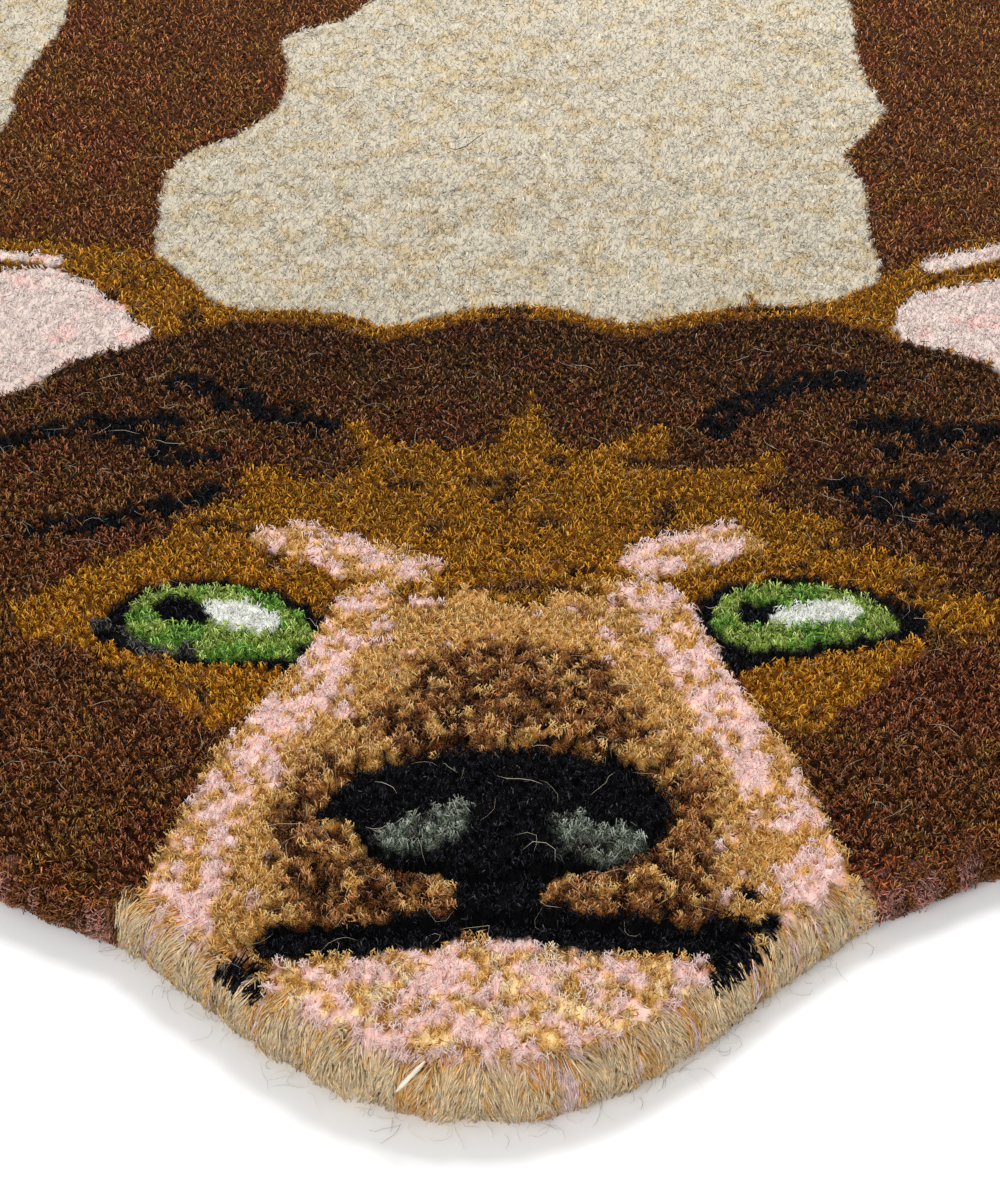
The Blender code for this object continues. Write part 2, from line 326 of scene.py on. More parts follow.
def yarns_at(x, y, inset):
    """Each tuft's yarn and how light it is: patches of a mix are clumps of one yarn."""
    mix = mixes_at(x, y, inset)
    yarn, light = np.zeros(len(x), int), np.ones(len(x))
    for number, (name, (clump, tone, shares)) in enumerate(MIXES.items()):
        here = np.flatnonzero(mix == number)
        if not len(here):
            continue
        pick = 0
        for share, finer, seed in CLUMPS:
            pick = pick + share * lattice_noise(x[here], y[here], clump / finer, seed)
        pick += CHANCE * rng.random(len(here))
        rank = (pick.argsort().argsort() + 0.5) / len(here)
        ends = np.cumsum(list(shares.values()))
        for thread, end in reversed(list(zip(shares, ends))):
            yarn[here[rank <= end + TINY]] = YARN_NAMES.index(thread)
        light[here] = tone
        # Painted light: the head's wool is lighter towards the muzzle
        if name in HEAD_PAINTED_LIGHT:
            light[here] *= np.interp(y[here], HEAD_ALONG, HEAD_PAINTED_LIGHT[name])
    light[yarn == YARN_NAMES.index("black")] = 1.0
    light *= 1 + ROW_SHADE * (lattice_noise(x * BAND_STRETCH, y, BAND, seed=31) - 0.5)
    return yarn, light


def linear(channel):
    """A screen colour's channel, 0 to 255, as an amount of light."""
    c = channel / 255
    return c / 12.92 if c <= 0.04045 else ((c + 0.055) / 1.055) ** 2.4


PALETTE = np.array([[linear(c) for c in row[:3]] for row in YARNS.values()])
# Shares of painted highlights: fibres of each yarn that are made lighter
HIGHLIT_SHARE = np.array([row[3] for row in YARNS.values()])
CONTRAST = np.array([row[4] for row in YARNS.values()])
LUMINANCE = np.array([0.2126, 0.7152, 0.0722])
DARKEST, LIGHTEST, LIGHTEST_TIP = 0.001, 0.93, 0.95  # of any channel
# Pale wool scatters light into the pile: there its painted shade is hardly darker, but deeper in hue.
# It is known by its blue, and each pair below is for other wool and for pale wool.
PALE_BLUES = (0.22, 0.32)
PALE_SHADE = (1.0, 0.2)  # share of the painted shade that is left
HUE_SHIFT = (0.5, 2.6)  # how much the painted shade deepens the hue
PALE_GRAIN = (1.0, 0.35)  # share of the fibres' own light and dark
PALE_DOME = (1.0, 0.5)  # share of the tufts' roundness
PALE_GAP = (1.0, 0.75)  # share of the gaps' depth


def within_white(colour):
    """Colours kept below white with their hue."""
    excess = np.maximum(colour.max(1, keepdims=True) / LIGHTEST, 1)
    return np.maximum(colour / excess, DARKEST)


def shaded(colour, depth):
    """Colours to a power: painted shade, darker and deeper in hue, for a depth over one, and painted
    light for a depth under one.
    """
    light = (colour @ LUMINANCE)[:, None]
    more = (depth - 1) * np.interp(colour[:, 2:], PALE_BLUES, PALE_SHADE)
    hue = np.interp(colour[:, 2:], PALE_BLUES, HUE_SHIFT)
    return np.minimum(colour ** (1 + hue * more) * light ** ((1 - hue) * more), LIGHTEST_TIP)


# ----- the solid

SAME_PLACE = 6  # decimals of a metre
FLOOR_LEVEL, ABOVE_ALL = 1e-5, 0.1  # m


def underside_ring():
    """The corners of the solid's flat underside in mm, anticlockwise seen from above."""
    mesh = solid.data
    keys = [tuple(np.round(v.co, SAME_PLACE)) for v in mesh.vertices]
    edges = set()
    for face in mesh.polygons:
        corners = [keys[v] for v in face.vertices]
        if max(c[2] for c in corners) < FLOOR_LEVEL:
            edges.update(zip(corners, corners[1:] + corners[:1]))
    following = {a: b for a, b in edges if (b, a) not in edges}
    start = min(following)
    ring, at = [start], following[start]
    while at != start:
        ring.append(at)
        at = following[at]
    ring = np.array(ring)[:, :2]
    x, y = ring.T
    if (x * np.roll(y, -1) - y * np.roll(x, -1)).sum() < 0:
        ring = ring[::-1]
    return (ring - (0, MUZZLE_TIP_Y)) / MM


RING = underside_ring()


def from_ring(x, y):
    """Distance in from the outline and the way out."""
    best, way = nearest(x, y, np.vstack([RING, RING[:1]]))
    inside = inside_loop(x, y, RING)
    way /= np.maximum(best, TINY)[:, None]
    way[~inside] *= -1
    return np.where(inside, best, -best) + RIM_INSET, way


def surface_heights(x, y):
    """Height of the solid's top at each place in mm, or 0 outside it."""
    tree = BVHTree.FromObject(solid, bpy.context.evaluated_depsgraph_get())
    down = Vector((0, 0, -1))
    heights = np.zeros(len(x))
    for i, (a, b) in enumerate(zip(x * MM, y * MM + MUZZLE_TIP_Y)):
        hit = tree.ray_cast(Vector((a, b, ABOVE_ALL)), down)[0]
        if hit is not None:
            heights[i] = hit.z / MM
    return heights


def ring_places(spacing, jitter):
    """Places along the underside's edge in mm, with the way out at each."""
    ahead = np.roll(RING, -1, 0) - RING
    lengths = np.hypot(*ahead.T)
    ends = np.cumsum(lengths)
    along = (np.arange(int(ends[-1] / spacing)) + 0.5) * spacing
    along = (along + rng.uniform(-0.5, 0.5, len(along)) * spacing * jitter) % ends[-1]
    edge = np.minimum(np.searchsorted(ends, along), len(RING) - 1)
    share = (along - ends[edge] + lengths[edge]) / lengths[edge]
    places = RING[edge] + ahead[edge] * share[:, None]
    flat = np.stack([ahead[:, 1], -ahead[:, 0]], 1) / lengths[:, None]
    corner = flat + np.roll(flat, 1, 0)
    corner /= np.maximum(np.hypot(*corner.T), TINY)[:, None]
    way = corner[edge] * (1 - share)[:, None] + np.roll(corner, -1, 0)[edge] * share[:, None]
    way /= np.hypot(*way.T)[:, None]
    return places, way


# ----- meshes

STEEP = 0.9  # share of upright


def unit(ways):
    """Directions made one long."""
    return ways / np.linalg.norm(ways, axis=-1, keepdims=True)


def square_to(ways):
    """A direction square to each of the given ones."""
    level = np.abs(ways[:, 2:]) < STEEP
    return unit(np.cross(ways, np.where(level, (0.0, 0.0, 1.0), (1.0, 0.0, 0.0))))


def add_object(name, data):
    """An object in the scene."""
    item = bpy.data.objects.new(name, data)
    bpy.context.scene.collection.objects.link(item)
    return item


def mesh_piece(name, points, faces, uvs, colours, fibres):
    """A piece of wool from triangles in mm, with its yarns' colours and the fibres' grain."""
    mesh = bpy.data.meshes.new(name)
    places = (points * MM + (0, MUZZLE_TIP_Y, 0)).astype(np.float32)
    mesh.vertices.add(len(points))
    mesh.vertices.foreach_set("co", places.ravel())
    mesh.loops.add(len(faces) * 3)
    mesh.loops.foreach_set("vertex_index", faces.astype(np.int32).ravel())
    mesh.polygons.add(len(faces))
    mesh.polygons.foreach_set("loop_start", np.arange(len(faces), dtype=np.int32) * 3)
    mesh.polygons.foreach_set("use_smooth", np.ones(len(faces), bool))
    mesh.update(calc_edges=True)
    grain = np.interp(colours[:, 2:], PALE_BLUES, PALE_GRAIN)
    rgba = np.hstack([colours, grain]).astype(np.float32)
    mesh.attributes.new("yarn", "FLOAT_COLOR", "POINT").data.foreach_set("color", rgba.ravel())
    mesh.attributes.new("fibre", "FLOAT_VECTOR", "POINT").data.foreach_set(
        "vector", fibres.astype(np.float32).ravel())
    mesh.uv_layers.new(name="OFBake").data.foreach_set("uv", uvs.astype(np.float32).ravel())
    mesh.materials.append(wool)
    return add_object(name, mesh)


FIBRE_WIDTH = 0.34  # mm across one grain of the wool's noise
FIBRE_LENGTH = 6.0  # times its width
FIBRE_SPREAD = 400  # grains: how far apart two slivers' noise may be
ROOT_DEPTH, TIP_DEPTH = 2.3, 0.78  # painted shade at a sliver's root and painted light at its tip, as powers of its colour
FLOOR_GAPS = (0.05, 0.10, 0.15, 0.20)  # mm: the least height of a sliver's corners
SLIVER_FACES = np.array([(0, 1, 2), (3, 2, 1), (2, 3, 0), (1, 0, 3)])
# A sliver's triangles laid out as a strip, then the margin and the fill of its cell
SLIVER_STRIP = np.array([(0, 1, 2), (3, 2, 1), (2, 3, 4), (5, 4, 3)])
STRIP_PLACES = np.array([(1 - k / 5, k % 2) for k in range(6)])
CELL_MARGIN, CELL_FILL = 0.05, 0.9


def make_slivers(name, tip, way, length, width, colour):
    """Closed slivers of wool with chisel ends, each to its tip along its way, in one mesh."""
    n = len(tip)
    root = tip - way * length[:, None]
    across = square_to(way)
    turn = rng.uniform(0, math.tau, n)[:, None]
    side = np.cos(turn) * across + np.sin(turn) * np.cross(way, across)
    last = np.cross(way, side)
    half = width[:, None] / 2
    corners = [root - side * half, root + side * half, tip - last * half, tip + last * half]
    points = np.stack(corners, 1)
    points[:, :, 2] = np.maximum(points[:, :, 2], FLOOR_GAPS)
    # Painted shade at the roots, deep in the pile, and painted light at the tips
    low, high = shaded(colour, ROOT_DEPTH), shaded(colour, TIP_DEPTH)
    colours = np.stack([low, low, high, high], 1)
    offset = rng.uniform(0, FIBRE_SPREAD, (n, 3))
    wide, along = width / 2 / FIBRE_WIDTH, length / (FIBRE_WIDTH * FIBRE_LENGTH)
    zero = np.zeros(n)
    grain = [(-wide, zero, zero), (wide, zero, zero), (zero, -wide, along), (zero, wide, along)]
    fibres = offset[:, None] + np.transpose(grain, (2, 0, 1))
    faces = (np.arange(n)[:, None, None] * 4 + SLIVER_FACES).reshape(-1, 3)
    columns = math.ceil(math.sqrt(n))
    cell = np.stack([np.arange(n) % columns, np.arange(n) // columns], 1)[:, None, None, :]
    uvs = (cell + CELL_MARGIN + CELL_FILL * STRIP_PLACES[SLIVER_STRIP]) / columns
    return mesh_piece(name, points.reshape(-1, 3), faces, uvs, colours.reshape(-1, 3), fibres)


# ----- materials

GRAIN_SPAN = (0.36, 0.64)  # the noise between these is the darkest and the lightest grain
GRAIN_POWERS = (0.74, -0.32)  # what they add to the colour's power
GRAIN_RELIEF = 0.6
FLOOR_TONES = (0.93, 0.95)


def new_material(name, roughness):
    """A material, its node tree and its shader."""
    material = bpy.data.materials.new(name)
    material.use_nodes = True
    shader = material.node_tree.nodes["Principled BSDF"]
    shader.inputs["Roughness"].default_value = roughness
    return material, material.node_tree, shader


def add_node(tree, kind, values=()):
    """A node with values for some of its inputs."""
    node = tree.nodes.new("ShaderNode" + kind)
    for socket, value in dict(values).items():
        node.inputs[socket].default_value = value
    return node


def add_range(tree, value, span, results):
    """A value that goes from one result to the other over a span."""
    node = add_node(tree, "MapRange", {
        "From Min": span[0], "From Max": span[1], "To Min": results[0], "To Max": results[1]})
    tree.links.new(value, node.inputs["Value"])
    return node.outputs["Result"]


def wool_material():
    """Wool in each yarn's own colour, with a grain along its fibres."""
    material, tree, shader = new_material("cut_wool_pile", 0.8)
    shader.inputs["Specular IOR Level"].default_value = 0.06
    link = tree.links.new
    yarn, fibre = add_node(tree, "Attribute"), add_node(tree, "Attribute")
    yarn.attribute_name, fibre.attribute_name = "yarn", "fibre"
    grain = add_node(tree, "TexNoise", {"Scale": 1.0, "Detail": 1.0})
    link(fibre.outputs["Vector"], grain.inputs["Vector"])
    # Dark grains are deeper in hue, light ones paler; pale wool has less of both
    change = add_range(tree, grain.outputs["Fac"], GRAIN_SPAN, GRAIN_POWERS)
    power = add_node(tree, "Math", {2: 1.0})
    power.operation = "MULTIPLY_ADD"
    link(change, power.inputs[0])
    link(yarn.outputs["Alpha"], power.inputs[1])
    shade = add_node(tree, "Gamma")
    link(yarn.outputs["Color"], shade.inputs["Color"])
    link(power.outputs["Value"], shade.inputs["Gamma"])
    link(shade.outputs["Color"], shader.inputs["Base Color"])
    relief = add_node(tree, "Math", {1: GRAIN_RELIEF})
    relief.operation = "MULTIPLY"
    link(yarn.outputs["Alpha"], relief.inputs[0])
    bump = add_node(tree, "Bump", {"Distance": 0.0003})
    link(relief.outputs["Value"], bump.inputs["Strength"])
    link(grain.outputs["Fac"], bump.inputs["Height"])
    link(bump.outputs["Normal"], shader.inputs["Normal"])
    return material


wool = wool_material()


def cotton_material():
    """The plain woven back."""
    material, tree, shader = new_material("plain_cotton_back", 0.9)
    place = add_node(tree, "TexCoord")
    weave = add_node(tree, "TexChecker", {
        "Scale": 700.0, "Color1": (0.42, 0.36, 0.27, 1.0), "Color2": (0.50, 0.44, 0.34, 1.0)})
    tree.links.new(place.outputs["Object"], weave.inputs["Vector"])
    tree.links.new(weave.outputs["Color"], shader.inputs["Base Color"])
    return material


def floor_material():
    material, tree, shader = new_material("pale_floor", 0.9)
    noise = add_node(tree, "TexNoise", {"Scale": 3.0})
    level = add_range(tree, noise.outputs["Fac"], (0.0, 1.0), FLOOR_TONES)
    tree.links.new(level, shader.inputs["Base Color"])
    return material


# ----- tufts

# What the photograph shows, with a margin, in mm: how far back, how far to each side at the
# muzzle's tip, and how fast the left and the right side widen from there
VIEW_BACK, VIEW_SIDE = 860.0, 145
VIEW_LEFT, VIEW_RIGHT = 0.226, 0.17
TUFT_INSET = 7.0  # mm in from the outline: the rim's own wool takes over
TUFT_JITTER, GAP_JITTER = 0.2, 0.12  # of a pitch
ROW_PITCH = 0.92  # rows of tufts are this much closer than the tufts in a row
GRID_HALF, GRID_START, GRID_LENGTH = 490.0, -10, 1520  # mm: the grid of all tufts

# name: pitch in mm, from and to along the rug, in the photograph's view or not
ZONES = {
    "muzzle": (4.2, -20, 150, True),
    "face": (4.2, 150, 300, True),
    "crown": (4.2, 300, 480, True),
    "neck": (5.0, 480, 660, True),
    "back": (5.0, 660, VIEW_BACK, True),
    "rest": (7.0, -20, 1520, False),
}


def in_view(x, y):
    """Where the photograph shows the rug."""
    left, right = VIEW_SIDE + VIEW_LEFT * y, VIEW_SIDE + VIEW_RIGHT * y
    return (y < VIEW_BACK) & (x > -left) & (x < right)


def zone_grid(pitch, low, high, seen, shift_x, shift_y, jitter):
    """Jittered rows of places in one zone, with their inset and way out."""
    half, row = GRID_HALF, pitch * ROW_PITCH
    rows = np.arange(int(GRID_LENGTH / row))
    x, y = np.meshgrid(np.arange(int(2 * half / pitch)) * pitch - half, rows * row + GRID_START)
    x = (x + (rows % 2 * pitch / 2)[:, None]).ravel() + shift_x * pitch
    y = y.ravel() + shift_y * row
    x = x + rng.uniform(-jitter, jitter, len(x)) * pitch
    y = y + rng.uniform(-jitter, jitter, len(y)) * pitch
    keep = (in_view(x, y) == seen) & (y >= low) & (y < high)
    x, y = x[keep], y[keep]
    inset, way = from_ring(x, y)
    keep = inset > TUFT_INSET
    return x[keep], y[keep], inset[keep], way[keep]


TUFTS = {name: zone_grid(*row, 0.0, 0.0, TUFT_JITTER) for name, row in ZONES.items()}

# ----- cloth

# The wool's dense foot: height and distance in from the outline, both in mm
FOOT_ROWS = ((0.0, 5.0), (1.5, 2.6), (5.0, 1.2), (9.5, 1.2), (13.0, 2.8), (15.2, 6.0))
FOOT_STEP = 5.0
COTTON_ROWS = 2  # rows of the edge that lie beside the back when laid out flat
RIM_COLOUR_ROW = 3  # where the edge's colours are taken
# Under a tuft and under a gap: how far below the solid's top in mm, how uneven, and the painted shade
# of its colour
FOOT_UNDER_TUFT, TUFT_UNEVEN, FOOT_DEPTH = 1.3, 0.25, 1.6
FOOT_UNDER_GAP, GAP_UNEVEN, GAP_DEPTH = 2.9, 0.3, 2.5
GAPS = ((0.5, 1 / 3), (0.0, 2 / 3))  # in pitches from each tuft
FOOT_GRAIN = 3.0  # how far its noise is strewn
TOP_FLAT, BACK_FLAT, FLAT_SIZE = (500, 30), (1060, 0), 2080  # mm, laid out flat
INSIDE_ONLY, MERGED = 1, 1e-7  # triangles inside the ring, and places that count as one


def painted_shade_colour(x, y, inset, depth):
    """Colour of the wool deep in the pile, darkened as painted shade."""
    yarn, light = yarns_at(x, y, inset)
    return shaded(within_white(PALETTE[yarn] * light[:, None]), depth)


def foot_top():
    """Places, heights and colours of the foot's top: a crest for each tuft, then gaps, with painted
    shade in the colours, deeper in the gaps.
    """
    places, heights, colours = [], [], []
    for name, (x, y, inset, _) in TUFTS.items():
        places.append(np.column_stack([x, y]))
        uneven = rng.normal(0, TUFT_UNEVEN, len(x))
        heights.append(surface_heights(x, y) - FOOT_UNDER_TUFT + uneven)
        colours.append(painted_shade_colour(x, y, inset, FOOT_DEPTH))
        for shift_x, shift_y in GAPS:
            x, y, inset, _ = zone_grid(*ZONES[name], shift_x, shift_y, GAP_JITTER)
            places.append(np.column_stack([x, y]))
            colours.append(painted_shade_colour(x, y, inset, GAP_DEPTH))
            depth = FOOT_UNDER_GAP * np.interp(colours[-1][:, 2], PALE_BLUES, PALE_GAP)
            heights.append(surface_heights(x, y) - depth + rng.normal(0, GAP_UNEVEN, len(x)))
    return np.vstack(places), np.concatenate(heights), np.vstack(colours)


def filled(ring, inner):
    """Triangles inside a closed ring of places, through the inner places."""
    corners = [Vector(p) for p in np.vstack([ring, inner])]
    edges = [(i, (i + 1) % len(ring)) for i in range(len(ring))]
    found = delaunay_2d_cdt(corners, edges, [], INSIDE_ONLY, MERGED)
    order = np.array([near[0] for near in found[3]])
    faces = order[np.array(found[2])]
    a, b, c = (np.array(corners)[faces[:, k]] for k in range(3))
    turn = (b[:, 0] - a[:, 0]) * (c[:, 1] - a[:, 1]) - (b[:, 1] - a[:, 1]) * (c[:, 0] - a[:, 0])
    faces[turn < 0] = faces[turn < 0][:, ::-1]
    return faces


def cloth_faces(rows, inner):
    """Triangles of the top, the edge and the underside, and how many each of them has."""
    n, last = len(rows[0]), len(rows) - 1
    top = filled(rows[last][:, :2], inner) + last * n
    bottom = filled(rows[0][:, :2], np.zeros((0, 2)))[:, ::-1]
    k = np.arange(n)
    j = (k + 1) % n
    faces = [top]
    for row in range(last):
        a, b = row * n, (row + 1) * n
        faces += [np.column_stack([a + k, a + j, b + j]), np.column_stack([a + k, b + j, b + k])]
    return np.vstack(faces + [bottom]), (len(top), 2 * n * last, len(bottom))


def cloth_uvs(ring, way, inner, faces, counts):
    """The sheet laid out flat: its edge spread outwards, and the underside beside the top."""
    rows = range(len(FOOT_ROWS))
    upper = np.vstack([ring + way * row for row in reversed(rows)] + [inner])
    lower = np.vstack([ring + way * row for row in rows] + [inner])
    under = np.zeros(len(faces), bool)
    under[counts[0]:counts[0] + 2 * len(ring) * COTTON_ROWS] = True
    under[-counts[2]:] = True
    places = np.where(under[:, None, None], lower[faces] + BACK_FLAT, upper[faces])
    return (places + TOP_FLAT) / FLAT_SIZE


def make_cloth():
    """The backing and the wool's foot: a closed sheet with a round edge."""
    ring, way = ring_places(FOOT_STEP, 0.0)
    n = len(ring)
    rows = []
    for height, inset in FOOT_ROWS:
        rows.append(np.column_stack([ring + way * (RIM_INSET - inset), np.full(n, height)]))
    # The sheet's edge in the wool's colour with painted shade
    rim_colour = painted_shade_colour(*rows[RIM_COLOUR_ROW][:, :2].T, np.zeros(n), FOOT_DEPTH)
    inner, heights, inner_colour = foot_top()
    faces, counts = cloth_faces(rows, inner)
    uvs = cloth_uvs(ring, way, inner, faces, counts)
    points = np.vstack(rows + [np.column_stack([inner, heights])])
    colours = np.vstack([np.tile(rim_colour, (len(rows), 1)), inner_colour])
    fibres = points / FIBRE_WIDTH + rng.normal(0, FOOT_GRAIN, points.shape)
    cloth = mesh_piece("rug_cloth", points, faces, uvs, colours, fibres)
    cloth.data.materials.append(cotton_material())
    backing = np.zeros(len(faces), np.int32)
    backing[-counts[2]:] = 1
    cloth.data.polygons.foreach_set("material_index", backing)
    return cloth


cloth = make_cloth()

# ----- wool

# Along the rug: slivers for each square mm, their width and their length
WOOL_ALONG = (0, 150, 300, 480, 660, 860)
WOOL_DENSITY = (1.28, 0.88, 0.50, 0.29, 0.18, 0.13)
WOOL_WIDTH = (0.32, 0.39, 0.48, 0.56, 0.66, 0.76)
WOOL_LENGTH = (3.4, 3.6, 3.9, 4.3, 4.9, 5.4)
REST_WOOL = (0.045, 1.3, 6.5)  # the same outside the photograph's view
SIZE_SPREAD = (0.7, 1.3)  # how a sliver's length varies, then its width
WIDTH_SPREAD = (0.8, 1.25)
HIGHLIT_FIBRE = (1.4, 0.04)  # times its yarn's colour, then what is added: painted highlights on single fibres
TONE_TOP, TONE_TAIL = 0.4, 1.5  # the lightest tone, and the power of the tail of dark ones, which are painted shade
DRIFT, DRIFT_SIZE = 1.6, 22  # mm that neighbouring tufts lean together, and over what size
GOLDEN_TURN = 2.39996  # radians from one sliver of a tuft to the next
TUFT_REACH, TUFT_BLUR = 0.52, 0.06  # pitches from a tuft's middle to its edge, and how uneven
TUFT_TONE, TUFT_HEIGHT = 0.07, 0.25  # how uneven the tufts are in tone, and in height in mm
SPLAY = 0.7  # how far a tuft's outer wool leans out
RIM_START, RIM_FADE = 14, 8  # mm in from the outline: from where the tufts lean to the rim
RIM_PUSH, RIM_LEAN = 2.0, 0.5  # how far their tips move out in mm, and how far they lean
# mm: a tuft's tips over the solid, how uneven they are, and how much lower the outer ones are
TIP_RISE, TIP_UNEVEN, DOME_DROP = 0.5, 0.3, 1.7
PUFF_SHADE, PUFF_MIDDLE = 0.55, 0.4  # painted shade on a tuft's outer wool, and painted light in its middle
PUFF_CONTRAST = (0.15, 1.2)  # the share of it in a plain yarn, and more with its contrast
PILE_ANGLES = (34, 16, 4, 82)  # degrees from upright: mean, spread, least and most
LEAST_UP = 0.12  # share of upright


def tilted(normal, angle, turn):
    """Directions at an angle from each normal, turned about it."""
    a = square_to(normal)
    b = np.cross(normal, a)
    c, s = np.cos(angle)[:, None], np.sin(angle)[:, None]
    return normal * c + (a * np.cos(turn)[:, None] + b * np.sin(turn)[:, None]) * s


def splayed(ways, angles):
    """Directions strewn about the given ones: mean, spread, least and most angle."""
    mean, spread, least, most = angles
    angle = np.radians(np.clip(rng.normal(mean, spread, len(ways)), least, most))
    return tilted(ways, angle, rng.uniform(0, math.tau, len(ways)))


def yarn_colour(yarn, tone):
    """Colour of each sliver: its yarn, its tone, and a share of fibres made lighter as painted
    highlights.
    """
    colour = PALETTE[yarn] * tone[:, None]
    # Painted highlights: a share of fibres is made lighter, as if catching the light
    light = rng.random(len(yarn)) < HIGHLIT_SHARE[yarn]
    colour[light] = colour[light] * HIGHLIT_FIBRE[0] + HIGHLIT_FIBRE[1]
    return within_white(colour)


def tone_of(yarn):
    """How light each sliver is: most are near their yarn, and a tail is darker, painted shade for
    fibres that lie in shadow.
    """
    return 1 + CONTRAST[yarn] * (TONE_TOP - rng.random(len(yarn)) ** TONE_TAIL)


def wool_of(y, seen):
    """Density, width and length of the slivers at each tuft."""
    if seen:
        return [np.interp(y, WOOL_ALONG, row) for row in (WOOL_DENSITY, WOOL_WIDTH, WOOL_LENGTH)]
    return [np.full(len(y), value) for value in REST_WOOL]


def drifts(x, y):
    """How far each tuft leans with its neighbours, in mm."""
    sides = [lattice_noise(x, y, DRIFT_SIZE, seed=seed) - 0.5 for seed in (3, 4)]
    return DRIFT * np.stack(sides, 1)


def around_tufts(count):
    """Each sliver's tuft, its direction from the tuft's middle, and how far out it is."""
    tuft = np.repeat(np.arange(len(count)), count)
    n = len(tuft)
    k = np.arange(n) - (np.cumsum(count) - count)[tuft]
    around = k * GOLDEN_TURN + rng.uniform(0, math.tau, len(count))[tuft]
    share = np.sqrt((k + rng.random(n)) / count[tuft])
    return tuft, np.stack([np.cos(around), np.sin(around)], 1), share


def make_pile(name):
    """The cut wool of one zone, splayed from each tuft."""
    x, y, inset, way = TUFTS[name]
    pitch, seen = ZONES[name][0], ZONES[name][3]
    density, width, length = wool_of(y, seen)
    yarn, light = yarns_at(x, y, inset)
    height = surface_heights(x, y) + rng.normal(0, TUFT_HEIGHT, len(x))
    tone = light * rng.normal(1, TUFT_TONE, len(x))
    count = np.floor(density * (pitch * pitch * ROW_PITCH) + rng.random(len(x))).astype(int)
    t, off, share = around_tufts(count)
    n, thread = len(t), yarn[t]
    outward = np.clip((RIM_START - inset[t]) / RIM_FADE, 0, 1)
    middle = np.stack([x, y], 1)[t] + drifts(x, y)[t]
    tip = middle + off * (pitch * TUFT_REACH * share)[:, None]
    tip += way[t] * (outward * RIM_PUSH)[:, None]
    tip += rng.normal(0, TUFT_BLUR * pitch, (n, 2))
    dome = np.interp(PALETTE[thread][:, 2], PALE_BLUES, PALE_DOME)
    uneven = rng.normal(0, TIP_UNEVEN, n)
    z = height[t] + TIP_RISE - dome * (DOME_DROP * share ** 2 + uneven)
    lean = off * share[:, None] * SPLAY + way[t] * (outward * RIM_LEAN)[:, None]
    direction = splayed(unit(np.column_stack([lean, np.ones(n)])), PILE_ANGLES)
    direction[direction[:, 2] < LEAST_UP, 2] = LEAST_UP
    long, wide = length[t] * rng.uniform(*SIZE_SPREAD, n), width[t] * rng.uniform(*WIDTH_SPREAD, n)
    # Painted light on each rounded tuft: lighter in its middle, with painted shade at its edge
    puff = np.clip(PUFF_CONTRAST[0] + PUFF_CONTRAST[1] * CONTRAST[thread], 0, 1)
    puff = PUFF_SHADE * puff * (PUFF_MIDDLE - share ** 2)
    colour = yarn_colour(thread, tone[t] * tone_of(thread) * (1 + puff))
    tip = np.column_stack([tip, z])
    return make_slivers("pile_" + name, tip, unit(direction), long, wide, colour)


pieces = [make_pile(name) for name in ZONES]

LEAST_HEIGHT = 0.3  # mm above the floor
# The rim's profile: height in mm, reach beyond the outline in mm, and the wool's lean upwards
RIM_HEIGHTS = (0.4, 2.0, 5.0, 9.0, 13.0, 16.0, 18.2)
RIM_REACHES = (-1.6, 0.0, 0.8, 0.6, -0.8, -3.2, -7.5)
RIM_LEANS = (-35, -15, 5, 15, 35, 60, 80)
# The edge's loose wool lets light through: how much lighter yarns of each luminance are there
RIM_YARN_LEVELS = (0.01, 0.05, 0.5)
RIM_YARN_LIGHT = (1.0, 1.3, 1.05)
RIM_BLACK_WIDTH = 1.8  # times the other slivers' width, so the black tufts are solid
RIM_ANGLES = (44, 20, 4, 80)
RIM_LIFT, RIM_UNEVEN, RIM_CLUMP_PAINTED_LIGHT = 2.4, 0.3, 0.9  # how the clumps stand out, and their painted light: lighter where they stand out, painted shade between them
RIM_CLUMPS = ((0.6, 4.6, 21), (0.4, 2.6, 22))  # share, size in mm and seed of the clumps
RIM_FLOOR = 0.4  # mm: the rim's wool starts this high
# The muzzle's edge wool hangs in strands: their length beside the rest, slant and size in mm,
# how much height counts in their clumps, how far they stand out, and how uneven they are
STRAND_LENGTH, STRAND_SLANT, STRAND_SIZE, STRAND_HEIGHT = 1.35, 1.3, 3.4, 0.22
STRAND_OUT, STRAND_UNEVEN = 0.35, 0.16


def hanging(way, lean, out, along, rise):
    """Directions of the strands that hang down over the muzzle's edge."""
    down = np.column_stack([way * np.sin(lean)[:, None], -np.cos(lean)])
    beside = np.column_stack([-way[:, 1], way[:, 0], np.zeros(len(way))])
    slant = STRAND_SLANT * (lattice_noise(along, rise, STRAND_SIZE, seed=23) - 0.5)[:, None]
    uneven = rng.normal(0, STRAND_UNEVEN, (len(way), 3))
    return unit(STRAND_OUT * out + down + slant * beside + uneven)


